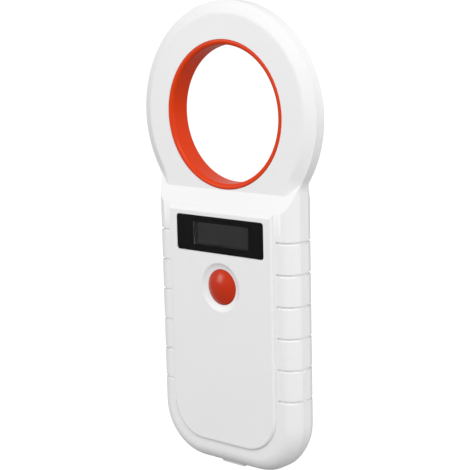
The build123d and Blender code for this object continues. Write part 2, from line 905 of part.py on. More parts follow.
plug_bottom = header_bottom - battery_plug_proud
with BuildPart() as battery_plug:
    with BuildSketch(Plane.XY.offset(plug_bottom)):
        with Locations((header_x, header_thickness / 2 - board_back)):
            Rectangle(
                header_width - 2 * header_wall - 2 * plug_clear,
                header_thickness - 2 * header_wall - 2 * plug_clear,
            )
    extrude(amount=header_height - header_wall + battery_plug_proud - plug_clear)
write(battery_plug, "battery_plug")

with BuildPart() as battery_leads:
    plug_y = header_thickness / 2 - board_back
    cell_y = (battery_back - battery_front) / 2
    cell_x = header_x - battery_lead_shift
    lead_rise = plug_bottom - battery_top
    for sign in (-1, 1):
        offset_x = sign * battery_lead_pitch / 2
        with BuildLine() as wire_path:
            FilletPolyline(
                (cell_x + offset_x, cell_y, battery_top),
                (cell_x + offset_x, cell_y, battery_top + lead_rise * battery_lead_bend),
                (header_x + offset_x, plug_y, plug_bottom - lead_rise * battery_lead_bend),
                (header_x + offset_x, plug_y, plug_bottom),
                radius=battery_lead_bend_r,
            )
        with BuildSketch(Plane(origin=wire_path.line @ 0, z_dir=wire_path.line % 0)):
            Circle(battery_lead_r)
        sweep()
write(battery_leads, "battery_leads")

# ------------------------------------------------------------------ charging socket and its cover

with BuildPart() as usb_socket:
    with BuildSketch(Plane.XY.offset(socket_bottom)):
        with Locations((0, socket_mid_y)):
            RectangleRounded(socket_width, socket_thickness, socket_corner_r)
            RectangleRounded(
                socket_width - 2 * socket_wall,
                socket_thickness - 2 * socket_wall,
                socket_corner_r - socket_wall / 2,
                mode=Mode.SUBTRACT,
            )
    extrude(amount=socket_depth)
    with BuildSketch(Plane.XY.offset(socket_bottom + socket_depth - socket_wall)):
        with Locations((0, socket_mid_y)):
            RectangleRounded(socket_width, socket_thickness, socket_corner_r)
    extrude(amount=socket_wall)
    with BuildSketch(Plane.XY.offset(socket_bottom + socket_gap)):
        with Locations((0, socket_mid_y)):
            Rectangle(tongue_width, tongue_thickness)
    extrude(amount=socket_depth - socket_gap)
write(usb_socket, "usb_socket")

with BuildPart() as port_cover:
    plate_width = cover_width - 2 * cover_clear
    with BuildSketch(Plane.XY):
        Rectangle(plate_width, cover_depth)
        fillet(vertices().group_by(Axis.Y)[0], cover_corner_r)
    extrude(amount=cover_thickness)
    rear_rims = port_cover.edges().filter_by(Axis.X).group_by(Axis.Y)[-1]
    fillet(rear_rims, hinge_r - hinge_flat)
    front_rim = port_cover.faces().sort_by(Axis.Z)[0].edges().sort_by(Axis.Y)[:-1]
    fillet(front_rim, cover_edge_round)
    with BuildSketch(Plane.XY.offset(cover_thickness)):
        with Locations((0, socket_mid_y - cover_stub_shift)):
            RectangleRounded(
                socket_width - cover_stub_gap,
                socket_thickness - cover_stub_gap,
                cover_stub_round,
            )
    extrude(amount=cover_stub_height)
    with BuildSketch(Plane.YZ):
        with Locations((hinge_y, hinge_z)):
            Circle(trunnion_r)
    extrude(amount=cover_width / 2 + trunnion_length, both=True)
write(port_cover, "port_cover")

# ------------------------------------------------------------------ fasteners


def screw(x, z, seat_y, size_r, root_r, pitch, length, head_r, head_height):
    """A pan-head screw along -Y, its threads as rings, with the underside of its head at seat_y."""
    thread_count = int((length - head_height) / pitch)
    axis = Axis((x, 0, z), (0, 1, 0))
    with BuildPart() as fastener:
        with BuildSketch(Plane.XY.offset(z)):
            with BuildLine():
                thread = [(x + root_r, seat_y - size_r)]
                for turn in range(thread_count):
                    top_y = seat_y - size_r - turn * pitch
                    thread.append((x + size_r, top_y - pitch / 2))
                    thread.append((x + root_r, top_y - pitch))
                Polyline(
                    (x, seat_y + head_height),
                    (x + head_r * 0.8, seat_y + head_height),
                    (x + head_r, seat_y + head_height * 0.55),
                    (x + head_r, seat_y),
                    (x + root_r, seat_y),
                    *thread,
                    (x, seat_y - length),
                    close=True,
                )
            make_face()
        revolve(axis=axis)
        with BuildSketch(Plane.XZ.offset(-(seat_y + head_height))):
            with Locations((x, z)):
                Rectangle(head_r * 1.2, head_r * 0.26)
                Rectangle(head_r * 0.26, head_r * 1.2)
        extrude(amount=head_height * 0.55, mode=Mode.SUBTRACT)
    return fastener.part


with BuildPart() as shell_screws:
    for x, z in screw_places:
        add(
            screw(
                x,
                z,
                seat_back,
                screw_r,
                screw_root_r,
                screw_pitch,
                screw_length,
                screw_head_r,
                screw_head_height,
            )
        )
write(shell_screws, "shell_screws")

with BuildPart() as board_screws:
    for x, z in board_screw_places:
        add(
            screw(
                x,
                z,
                -board_back,
                board_screw_r,
                board_screw_root_r,
                screw_pitch * 0.8,
                board_screw_length,
                board_screw_head_r,
                board_screw_head_height,
            )
        )
write(board_screws, "board_screws")

with BuildPart() as screw_plugs:
    plug_front_y = seat_back + screw_head_height + plug_sink
    with BuildSketch(Plane.XZ.offset(-(body_back - plug_sink))):
        with Locations(*screw_places):
            Circle(head_bore_r)
    extrude(amount=body_back - plug_sink - plug_front_y)
    fillet(outer_face(screw_plugs, -1).edges(), plug_edge_round)
write(screw_plugs, "screw_plugs")
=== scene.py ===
import math

import bmesh
import bpy
from mathutils import Matrix, Quaternion, Vector


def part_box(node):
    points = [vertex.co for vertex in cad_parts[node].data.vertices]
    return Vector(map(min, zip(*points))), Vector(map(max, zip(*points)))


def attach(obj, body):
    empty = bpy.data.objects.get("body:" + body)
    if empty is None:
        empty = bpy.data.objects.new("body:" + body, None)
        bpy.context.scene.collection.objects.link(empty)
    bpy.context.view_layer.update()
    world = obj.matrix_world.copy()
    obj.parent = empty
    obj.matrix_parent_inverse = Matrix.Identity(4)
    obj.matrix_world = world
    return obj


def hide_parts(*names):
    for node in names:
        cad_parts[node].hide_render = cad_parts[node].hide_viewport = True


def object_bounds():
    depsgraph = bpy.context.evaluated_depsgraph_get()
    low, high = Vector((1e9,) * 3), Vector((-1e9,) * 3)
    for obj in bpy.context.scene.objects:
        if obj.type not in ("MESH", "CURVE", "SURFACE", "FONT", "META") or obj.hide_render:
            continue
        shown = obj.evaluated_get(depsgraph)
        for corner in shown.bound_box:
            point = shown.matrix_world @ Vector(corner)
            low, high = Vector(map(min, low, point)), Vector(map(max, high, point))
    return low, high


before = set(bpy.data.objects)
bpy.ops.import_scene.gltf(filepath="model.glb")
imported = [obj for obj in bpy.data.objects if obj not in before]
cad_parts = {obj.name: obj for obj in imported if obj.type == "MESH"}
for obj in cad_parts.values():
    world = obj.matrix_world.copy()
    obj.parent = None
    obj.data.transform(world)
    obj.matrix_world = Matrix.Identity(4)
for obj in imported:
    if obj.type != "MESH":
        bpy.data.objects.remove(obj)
cad_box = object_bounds()

bl_info = {
    "name": "Handheld microchip reader",
    "version": (1, 0, 0),
    "blender": (4, 5, 0),
    "location": "View3D > Sidebar > Reader",
    "description": "Finishes the casing, ring, button, display and inner parts of a handheld reader",
    "category": "Object",
}

MM = 0.001
LENGTH = {"subtype": "DISTANCE", "unit": "LENGTH", "min": 0.0}
SHARE = {"subtype": "FACTOR", "min": 0.0, "max": 1.0}
COLOUR = {"subtype": "COLOR", "size": 3, "min": 0.0, "max": 1.0}
ANGLE = {"subtype": "ANGLE", "unit": "ROTATION"}

MERGE_GAP = 0.001 * MM
ON_LINE = 0.01 * MM
ON_RIM = 0.02 * MM
TINY_ROUND = 0.05 * MM
PANE_ROUND = 0.03 * MM
CORNER_TURN = math.radians(50)

# Where the ramp's top edge is looked for, and its least turn
RAMP_NEAR = 0.08 * MM
RAMP_REACH = 2.0 * MM
RAMP_TURN = math.radians(10)

RING_STEPS = 180
WIRE_STEPS = 96
WIRE_SIDES = 6
WINDOW_GRAIN = 0.4 * MM
WINDOW_MOTTLE = 300.0


# ------------------------------------------------------------------ settings


class CasingSettings(bpy.types.PropertyGroup):
    """Moulded casing of the handle and ring."""

    colour: bpy.props.FloatVectorProperty(
        name="Colour", description="White of the casing", default=(0.86, 0.86, 0.862), **COLOUR
    )
    roughness: bpy.props.FloatProperty(
        name="Roughness", description="How matt the moulded face is", default=0.42, **SHARE
    )
    grain_size: bpy.props.FloatProperty(
        name="Grain size", description="Width of one spark-eroded pit", default=0.35 * MM, **LENGTH
    )
    grain_depth: bpy.props.FloatProperty(
        name="Grain depth", description="Depth of the pits", default=0.012 * MM, **LENGTH
    )
    edge_round: bpy.props.FloatProperty(
        name="Edge radius", description="Radius on the casing's crisp edges", default=0.2 * MM, **LENGTH
    )
    neck_round: bpy.props.FloatProperty(
        name="Neck blend",
        description="How far the ramp blends into the ring's face",
        default=2.2 * MM,
        **LENGTH,
    )


class LinerSettings(bpy.types.PropertyGroup):
    """Coloured liner of the ring."""

    colour: bpy.props.FloatVectorProperty(
        name="Colour", description="Red-orange of the liner", default=(0.72, 0.046, 0.002), **COLOUR
    )
    roughness: bpy.props.FloatProperty(
        name="Roughness", description="How matt the liner is", default=0.3, **SHARE
    )
    wall: bpy.props.FloatProperty(
        name="Wall", description="From the bore to the casing", default=1.8 * MM, **LENGTH
    )
    bore_round: bpy.props.FloatProperty(
        name="Bore radius", description="Radius between the lip and the bore", default=1.1 * MM, **LENGTH
    )
    edge_round: bpy.props.FloatProperty(
        name="Edge radius", description="Radius of the lip's outer edge", default=0.35 * MM, **LENGTH
    )
    tongue_rise: bpy.props.FloatProperty(
        name="Tongue rise",
        description="How far the tongue stands into the casing",
        default=0.8 * MM,
        **LENGTH,
    )
    tongue_width: bpy.props.FloatProperty(
        name="Tongue width", description="Width of the tongue", default=1.2 * MM, **LENGTH
    )


class ButtonSettings(bpy.types.PropertyGroup):
    """Domed push button."""

    colour: bpy.props.FloatVectorProperty(
        name="Colour", description="Red-orange of the button", default=(0.53, 0.026, 0.001), **COLOUR
    )
    roughness: bpy.props.FloatProperty(
        name="Roughness", description="How matt the dome is", default=0.22, **SHARE
    )
    crown: bpy.props.FloatProperty(
        name="Crown", description="Rise of the dome over its rim", default=1.7 * MM, **LENGTH
    )
    flange_width: bpy.props.FloatProperty(
        name="Flange width", description="Flange that holds the button in", default=1.35 * MM, **LENGTH
    )
    flange_thickness: bpy.props.FloatProperty(
        name="Flange thickness", description="Thickness of the flange", default=0.8 * MM, **LENGTH
    )
    rim_round: bpy.props.FloatProperty(
        name="Rim radius", description="Radius between the dome and its side", default=0.3 * MM, **LENGTH
    )


class WindowSettings(bpy.types.PropertyGroup):
    """Display window and the display behind it."""

    corner_round: bpy.props.FloatProperty(
        name="Corner radius", description="Radius of the window's corners", default=1.0 * MM, **LENGTH
    )
    edge_round: bpy.props.FloatProperty(
        name="Edge radius", description="Radius of the window's front edge", default=0.15 * MM, **LENGTH
    )
    window_roughness: bpy.props.FloatProperty(
        name="Window roughness", description="How matt the clear window is", default=0.03, **SHARE
    )
    mask_colour: bpy.props.FloatVectorProperty(
        name="Mask colour",
        description="Black print behind the window",
        default=(0.004, 0.004, 0.0045),
        **COLOUR,
    )
    glass_colour: bpy.props.FloatVectorProperty(
        name="Glass colour",
        description="Dark glass of the display",
        default=(0.008, 0.0085, 0.0095),
        **COLOUR,
    )


class AntennaSettings(bpy.types.PropertyGroup):
    """Wire of the antenna."""

    colour: bpy.props.FloatVectorProperty(
        name="Colour", description="Enamelled copper", default=(0.62, 0.22, 0.08), **COLOUR
    )
    wire_radius: bpy.props.FloatProperty(
        name="Wire radius", description="Radius of the wire with its enamel", default=0.28 * MM, **LENGTH
    )
    wire_pitch: bpy.props.FloatProperty(
        name="Wire pitch", description="From one turn to the next", default=0.6 * MM, **LENGTH
    )
    winding_depth: bpy.props.FloatProperty(
        name="Winding depth", description="From the outermost turn inwards", default=5.4 * MM, **LENGTH
    )


class StageSettings(bpy.types.PropertyGroup):
    """Floor, lights and camera."""

    floor_gap: bpy.props.FloatProperty(
        name="Floor gap", description="Room under the reader for its port cover", default=6 * MM, **LENGTH
    )
    floor_radius: bpy.props.FloatProperty(
        name="Floor radius", description="Radius of the floor", default=12.0, **LENGTH
    )
    lens: bpy.props.FloatProperty(
        name="Lens", description="Focal length in millimetres", default=105.27, min=10.0
    )
    distance: bpy.props.FloatProperty(
        name="Distance", description="From the camera to its aim", default=0.4454, **LENGTH
    )
    azimuth: bpy.props.FloatProperty(
        name="Azimuth",
        description="Turn round the reader",
        default=math.radians(41.17),
        **ANGLE,
    )
    elevation: bpy.props.FloatProperty(
        name="Elevation",
        description="Angle above the horizon",
        default=math.radians(10.1),
        **ANGLE,
    )
    roll: bpy.props.FloatProperty(
        name="Roll",
        description="Turn about the line of sight",
        default=math.radians(-1.33),
        **ANGLE,
    )
    aim: bpy.props.FloatVectorProperty(
        name="Aim",
        description="Point at the middle of the view",
        default=(0.00701, -0.0074, 0.08026),
        subtype="TRANSLATION",
        unit="LENGTH",
    )


# ------------------------------------------------------------------ shader nodes

# Sockets of a Mix node that mixes colours
MIX_FACTOR = 0
MIX_FIRST = 6
MIX_SECOND = 7
MIX_RESULT = 2

MOTTLE_SCALE = 55.0
WEAR_SCALE = 900.0
RUBBED_LIGHTER = 1.25
COAT_ROUGHNESS = 0.08


def add_node(tree, kind, values=None, **options):
    """A new node; values are by socket name, each a plain value or another node's output."""
    made = tree.nodes.new(kind)
    for option, value in options.items():
        setattr(made, option, value)
    for socket, value in (values or {}).items():
        if isinstance(value, bpy.types.NodeSocket):
            tree.links.new(value, made.inputs[socket])
        else:
            made.inputs[socket].default_value = value
    return made


def new_group(name, inputs, outputs):
    """An empty shader group with named float sockets, and its two end nodes."""
    group = bpy.data.node_groups.new(name, "ShaderNodeTree")
    for socket, default in inputs.items():
        made = group.interface.new_socket(socket, in_out="INPUT", socket_type="NodeSocketFloat")
        made.default_value = default
    for socket in outputs:
        group.interface.new_socket(socket, in_out="OUTPUT", socket_type="NodeSocketFloat")
    return group, group.nodes.new("NodeGroupInput"), group.nodes.new("NodeGroupOutput")


def grain_group():
    """Fine pits of a spark-eroded mould, with a slow mottle under them."""
    group, start, end = new_group(
        "Moulded Grain", {"Scale": 3000.0, "Mottle Scale": 60.0}, ("Height", "Mottle")
    )
    place = add_node(group, "ShaderNodeTexCoord").outputs["Object"]
    pits = add_node(
        group,
        "ShaderNodeTexNoise",
        {"Vector": place, "Scale": start.outputs["Scale"], "Detail": 2.0, "Roughness": 0.55},
    )
    mottle = add_node(
        group,
        "ShaderNodeTexNoise",
        {"Vector": place, "Scale": start.outputs["Mottle Scale"], "Detail": 4.0, "Roughness": 0.6},
    )
    group.links.new(pits.outputs["Fac"], end.inputs["Height"])
    group.links.new(mottle.outputs["Fac"], end.inputs["Mottle"])
    return group


def wear_group():
    """Where edges are rubbed: corners that stand out, broken up by noise."""
    group, start, end = new_group(
        "Edge Wear", {"Amount": 0.3, "Scale": WEAR_SCALE}, ("Mask",)
    )
    place = add_node(group, "ShaderNodeTexCoord").outputs["Object"]
    corner = add_node(
        group,
        "ShaderNodeMapRange",
        {
            "Value": add_node(group, "ShaderNodeNewGeometry").outputs["Pointiness"],
            "From Min": 0.52,
            "From Max": 0.62,
        },
    )
    broken = add_node(
        group,
        "ShaderNodeTexNoise",
        {"Vector": place, "Scale": start.outputs["Scale"], "Detail": 3.0},
    )
    rubbed = add_node(
        group,
        "ShaderNodeMath",
        {0: corner.outputs["Result"], 1: broken.outputs["Fac"]},
        operation="MULTIPLY",
    )
    mask = add_node(
        group,
        "ShaderNodeMath",
        {0: rubbed.outputs["Value"], 1: start.outputs["Amount"]},
        operation="MULTIPLY",
        use_clamp=True,
    )
    group.links.new(mask.outputs["Value"], end.inputs["Mask"])
    return group


def new_material(name):
    """A material with only a Principled shader on its output."""
    made = bpy.data.materials.new(name)
    made.use_nodes = True
    tree = made.node_tree
    tree.nodes.clear()
    shader = tree.nodes.new("ShaderNodeBsdfPrincipled")
    output = tree.nodes.new("ShaderNodeOutputMaterial")
    tree.links.new(shader.outputs["BSDF"], output.inputs["Surface"])
    return made, tree, shader


def place_group(tree, name, values):
    """One of the shared groups in a material, with its own values."""
    made = tree.nodes.new("ShaderNodeGroup")
    made.node_tree = bpy.data.node_groups[name]
    for socket, value in values.items():
        made.inputs[socket].default_value = value
    return made


def rgba(colour):
    """A colour with full alpha."""
    return (*colour, 1.0)


def shade(colour, factor):
    """A lighter or darker version of a colour."""
    return tuple(min(1.0, channel * factor) for channel in colour)


def blend(tree, share, first, second):
    """Mix two colours by a mask; each is a plain colour or another node's output."""
    made = add_node(
        tree,
        "ShaderNodeMix",
        {MIX_FACTOR: share, MIX_FIRST: first, MIX_SECOND: second},
        data_type="RGBA",
    )
    return made.outputs[MIX_RESULT]


def plastic(
    name,
    colour,
    roughness=0.4,
    grain_size=0.35 * MM,
    grain_depth=0.01 * MM,
    mottle=0.04,
    wear=0.25,
    coat=0.0,
    specular=0.5,
    metallic=0.0,
    rough_spread=0.12,
):
    """A moulded or painted finish: pits, uneven gloss, a slow mottle and rubbed edges."""
    made, tree, shader = new_material(name)
    grain = place_group(
        tree, "Moulded Grain", {"Scale": 1.0 / grain_size, "Mottle Scale": MOTTLE_SCALE}
    )
    worn = place_group(tree, "Edge Wear", {"Amount": wear, "Scale": WEAR_SCALE})
    body = blend(
        tree,
        grain.outputs["Mottle"],
        rgba(shade(colour, 1.0 - mottle)),
        rgba(shade(colour, 1.0 + mottle)),
    )
    edge = blend(tree, worn.outputs["Mask"], body, rgba(shade(colour, RUBBED_LIGHTER)))
    tree.links.new(edge, shader.inputs["Base Color"])
    gloss = add_node(
        tree,
        "ShaderNodeMapRange",
        {
            "Value": grain.outputs["Mottle"],
            "To Min": roughness * (1.0 - rough_spread),
            "To Max": roughness * (1.0 + rough_spread),
        },
    )
    tree.links.new(gloss.outputs["Result"], shader.inputs["Roughness"])
    bump = add_node(
        tree,
        "ShaderNodeBump",
        {"Height": grain.outputs["Height"], "Distance": grain_depth, "Strength": 1.0},
    )
    tree.links.new(bump.outputs["Normal"], shader.inputs["Normal"])
    shader.inputs["Coat Weight"].default_value = coat
    shader.inputs["Coat Roughness"].default_value = COAT_ROUGHNESS
    shader.inputs["Specular IOR Level"].default_value = specular
    shader.inputs["Metallic"].default_value = metallic
    return made


def dress(node, finish):
    """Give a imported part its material."""
    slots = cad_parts[node].material_slots
    for slot in slots:
        slot.material = finish


# ------------------------------------------------------------------ mesh helpers


def new_piece(name, bm, material, body, slot, *stands_for):
    """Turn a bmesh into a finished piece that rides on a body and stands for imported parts."""
    mesh = bpy.data.meshes.new(name)
    bm.to_mesh(mesh)
    bm.free()
    if "custom_normal" in mesh.attributes:
        mesh.attributes.remove(mesh.attributes["custom_normal"])
    piece = bpy.data.objects.new(name, mesh)
    bpy.context.scene.collection.objects.link(piece)
    mesh.materials.clear()
    mesh.materials.append(material)
    mesh.shade_smooth()
    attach(piece, body)
    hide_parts(*stands_for)
    return piece


def crisp(piece, width, angle, segments=2):
    """Round a piece's sharp edges a little and keep its flat faces flat in the light."""
    edges = piece.modifiers.new("rounded edges", "BEVEL")
    edges.width = width
    edges.segments = segments
    edges.limit_method = "ANGLE"
    edges.angle_limit = angle
    normals = piece.modifiers.new("flat faces", "WEIGHTED_NORMAL")
    normals.keep_sharp = False
    normals.weight = 90
    return piece


def copy_of(node):
    """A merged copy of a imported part's mesh."""
    bm = bmesh.new()
    bm.from_mesh(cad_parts[node].data)
    bmesh.ops.remove_doubles(bm, verts=bm.verts, dist=MERGE_GAP)
    return bm


def lathe(points, centre, steps):
    """Spin a closed profile of (radius, depth) points about the line through centre along Y."""
    bm = bmesh.new()
    profile = [bm.verts.new(centre + Vector((radius, depth, 0.0))) for radius, depth in points]
    edges = [bm.edges.new(pair) for pair in zip(profile, profile[1:] + profile[:1])]
    bmesh.ops.spin(
        bm,
        geom=profile + edges,
        cent=centre,
        axis=(0.0, 1.0, 0.0),
        angle=2 * math.pi,
        steps=steps,
        use_merge=True,
    )
    bmesh.ops.remove_doubles(bm, verts=bm.verts, dist=MERGE_GAP)
    bmesh.ops.recalc_face_normals(bm, faces=bm.faces)
    return bm


def rims(bm, centre, radius, depth):
    """Edges of the circle of one radius at one depth."""

    def on_rim(vert):
        away = vert.co - centre
        return (
            abs(away.y - depth) < ON_LINE
            and abs(math.hypot(away.x, away.z) - radius) < ON_RIM
        )

    return [edge for edge in bm.edges if all(on_rim(vert) for vert in edge.verts)]


def round_edges(bm, edges, width, segments):
    """Bevel edges to a round."""
    bmesh.ops.bevel(
        bm,
        geom=edges,
        offset=width,
        offset_type="OFFSET",
        affect="EDGES",
        segments=segments,
        profile=0.5,
        material=-1,
        clamp_overlap=True,
    )


def block(low, high):
    """A box between two corners."""
    bm = bmesh.new()
    size = high - low
    bmesh.ops.create_cube(
        bm,
        size=1.0,
        matrix=Matrix.Translation((low + high) / 2) @ Matrix.Diagonal((*size, 1.0)),
    )
    return bm


def ramp_line(bm, side, inset):
    """Edges where the ramp meets the ring's flat face; side is -1 in front and 1 behind."""
    low, high = LINER_BOX
    depth = (low.y + inset if side < 0 else high.y - inset)

    def on_line(edge):
        first, second = (vert.co for vert in edge.verts)
        return (
            abs(first.y - depth) < RAMP_NEAR
            and abs(second.y - depth) < RAMP_NEAR
            and abs(first.z - second.z) < ON_LINE
            and abs(first.z - low.z) < RAMP_REACH
            and edge.calc_face_angle(0.0) > RAMP_TURN
        )

    return [edge for edge in bm.edges if len(edge.link_faces) == 2 and on_line(edge)]


LINER_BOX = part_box("ring_liner")
RING_CENTRE = Vector((0.0, 0.0, (LINER_BOX[0].z + LINER_BOX[1].z) / 2))


# ------------------------------------------------------------------ operators


FINISHES = {
    "cover_white": (
        {"colour": (0.83, 0.83, 0.82), "roughness": 0.55, "mottle": 0.03, "wear": 0.1},
        ("port_cover", "screw_plugs"),
    ),
    "bobbin_black": (
        {"colour": (0.025, 0.025, 0.027), "roughness": 0.5, "mottle": 0.2, "grain_depth": 0.02 * MM},
        ("antenna_bobbin", "buzzer", "switch_body"),
    ),
    "foam_black": (
        {"colour": (0.02, 0.02, 0.02), "roughness": 0.95, "mottle": 0.3, "grain_depth": 0.12 * MM},
        ("display_foam",),
    ),
    "film_amber": (
        {"colour": (0.42, 0.17, 0.03), "roughness": 0.28, "mottle": 0.12, "wear": 0.0, "coat": 0.3},
        ("display_flex",),
    ),
    "switch_grey": (
        {"colour": (0.3, 0.3, 0.31), "roughness": 0.45, "mottle": 0.06},
        ("switch_plunger",),
    ),
    "tinned_steel": (
        {"colour": (0.62, 0.62, 0.63), "roughness": 0.28, "mottle": 0.08, "metallic": 1.0},
        ("usb_socket", "switch_cover", "crystal"),
    ),
    "screw_steel": (
        {"colour": (0.6, 0.6, 0.62), "roughness": 0.22, "mottle": 0.1, "metallic": 1.0, "wear": 0.5},
        ("board_screws", "shell_screws"),
    ),
    "solder_mask_green": (
        {"colour": (0.012, 0.13, 0.05), "roughness": 0.3, "mottle": 0.15, "wear": 0.0, "coat": 0.4},
        ("circuit_board",),
    ),
    "chip_epoxy": (
        {"colour": (0.02, 0.02, 0.022), "roughness": 0.6, "mottle": 0.2, "grain_depth": 0.03 * MM},
        ("controller_chip", "reader_chip", "charger_chip"),
    ),
    "capacitor_ceramic": (
        {"colour": (0.3, 0.2, 0.12), "roughness": 0.45, "mottle": 0.2},
        ("chip_capacitors",),
    ),
    "pouch_foil": (
        {"colour": (0.68, 0.68, 0.7), "roughness": 0.35, "mottle": 0.08, "metallic": 0.9, "wear": 0.4},
        ("battery",),
    ),
    "lead_insulation": (
        {"colour": (0.5, 0.02, 0.02), "roughness": 0.4, "mottle": 0.06},
        ("battery_leads",),
    ),
    "nylon_cream": (
        {"colour": (0.74, 0.69, 0.56), "roughness": 0.5, "mottle": 0.05},
        ("battery_plug", "battery_socket"),
    ),
    "tape_white": (
        {"colour": (0.8, 0.79, 0.74), "roughness": 0.8, "mottle": 0.06, "grain_depth": 0.05 * MM},
        ("battery_tape",),
    ),
    "coil_copper": (
        {"colour": (0.62, 0.22, 0.08), "roughness": 0.3, "mottle": 0.15, "metallic": 0.8, "wear": 0.0},
        ("coil_leads",),
    ),
    "label_film": (
        {"colour": (0.72, 0.73, 0.74), "roughness": 0.35, "mottle": 0.03, "wear": 0.0},
        ("rear_label",),
    ),
}


FLAT_TURN = math.radians(0.5)
CASING_CORNER = math.radians(28)
NECK_SEGMENTS = 6
# About how far the liner's lips stand beyond the ring's faces
LINER_LIP = 0.13 * MM


class READER_OT_casing(bpy.types.Operator):
    """Finish the two halves of the casing"""

    bl_idname = "reader.casing"
    bl_label = "Casing"

    def execute(self, context):
        settings = context.scene.casing_settings
        white = plastic(
            "casing_white",
            settings.colour,
            settings.roughness,
            settings.grain_size,
            settings.grain_depth,
            mottle=0.012,
            wear=0.1,
        )
        for half, side in (("front_shell", -1), ("rear_shell", 1)):
            bm = copy_of(half)
            bmesh.ops.dissolve_limit(
                bm,
                angle_limit=FLAT_TURN,
                use_dissolve_boundaries=False,
                verts=bm.verts,
                edges=bm.edges,
            )
            round_edges(bm, ramp_line(bm, side, LINER_LIP), settings.neck_round, NECK_SEGMENTS)
            piece = new_piece(half + "_moulding", bm, white, "root", "shell_white", half)
            crisp(piece, settings.edge_round, CASING_CORNER)
        return {"FINISHED"}


class READER_OT_liner(bpy.types.Operator):
    """Turn the coloured liner of the ring"""

    bl_idname = "reader.liner"
    bl_label = "Ring liner"

    def execute(self, context):
        settings = context.scene.liner_settings
        orange = plastic(
            "liner_orange",
            settings.colour,
            settings.roughness,
            grain_size=0.3 * MM,
            grain_depth=0.003 * MM,
            mottle=0.05,
            wear=0.15,
            specular=0.18,
        )
        centre = RING_CENTRE
        low, high = LINER_BOX
        tongue_r = high.x
        wall_r = tongue_r - settings.tongue_rise
        bore_r = wall_r - settings.wall
        half_tongue = settings.tongue_width / 2
        bm = lathe(
            [
                (bore_r, low.y),
                (wall_r, low.y),
                (wall_r, -half_tongue),
                (tongue_r, -half_tongue),
                (tongue_r, half_tongue),
                (wall_r, half_tongue),
                (wall_r, high.y),
                (bore_r, high.y),
            ],
            centre,
            steps=RING_STEPS,
        )
        for depth in (low.y, high.y):
            round_edges(bm, rims(bm, centre, bore_r, depth), settings.bore_round, 8)
            round_edges(bm, rims(bm, centre, wall_r, depth), settings.edge_round, 3)
        piece = new_piece("ring_liner_sleeve", bm, orange, "root", "liner_orange", "ring_liner")
        crisp(piece, TINY_ROUND, CORNER_TURN, segments=1)
        return {"FINISHED"}


class READER_OT_button(bpy.types.Operator):
    """Turn the domed push button"""

    bl_idname = "reader.button"
    bl_label = "Button"

    def execute(self, context):
        settings = context.scene.button_settings
        orange = plastic(
            "button_orange",
            settings.colour,
            settings.roughness,
            grain_size=0.3 * MM,
            grain_depth=0.002 * MM,
            mottle=0.04,
            wear=0.1,
            specular=0.3,
        )
        low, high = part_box("button_cap")
        centre = (low + high) / 2
        flange_r = (high.x - low.x) / 2
        button_r = flange_r - settings.flange_width
        crown = settings.crown
        sphere_r = (button_r**2 + crown**2) / (2 * crown)
        sphere = Vector((centre.x, low.y + sphere_r, centre.z))
        turn = Quaternion((1.0, 0.0, 0.0), math.radians(90)).to_matrix().to_4x4()
        bm = bmesh.new()
        bmesh.ops.create_uvsphere(
            bm,
            u_segments=96,
            v_segments=180,
            radius=sphere_r,
            matrix=Matrix.Translation(sphere) @ turn,
        )
        rim_y = low.y + crown
        bmesh.ops.bisect_plane(
            bm,
            geom=bm.verts[:] + bm.edges[:] + bm.faces[:],
            dist=0.0001 * MM,
            plane_co=(0.0, rim_y, 0.0),
            plane_no=(0.0, 1.0, 0.0),
            clear_outer=True,
        )
        seat_y = high.y - settings.flange_thickness
        self.extend(bm, centre, 1.0, seat_y - rim_y)
        self.extend(bm, centre, flange_r / button_r, 0.0)
        self.extend(bm, centre, 1.0, high.y - seat_y)
        bmesh.ops.holes_fill(bm, edges=[edge for edge in bm.edges if edge.is_boundary])
        bmesh.ops.recalc_face_normals(bm, faces=bm.faces)
        middle = Vector((centre.x, 0.0, centre.z))
        round_edges(bm, rims(bm, middle, button_r, rim_y), settings.rim_round, 4)
        piece = new_piece("button_dome", bm, orange, "button", "button_orange", "button_cap")
        crisp(piece, TINY_ROUND, CORNER_TURN, segments=1)
        return {"FINISHED"}

    def extend(self, bm, centre, factor, depth):
        """Extrude the open rim, then widen and move it."""
        rim = [edge for edge in bm.edges if edge.is_boundary]
        made = bmesh.ops.extrude_edge_only(bm, edges=rim)["geom"]
        verts = [item for item in made if isinstance(item, bmesh.types.BMVert)]
        middle = Matrix.Translation((-centre.x, 0.0, -centre.z))
        bmesh.ops.scale(bm, vec=(factor, 1.0, factor), space=middle, verts=verts)
        bmesh.ops.translate(bm, vec=(0.0, depth, 0.0), verts=verts)


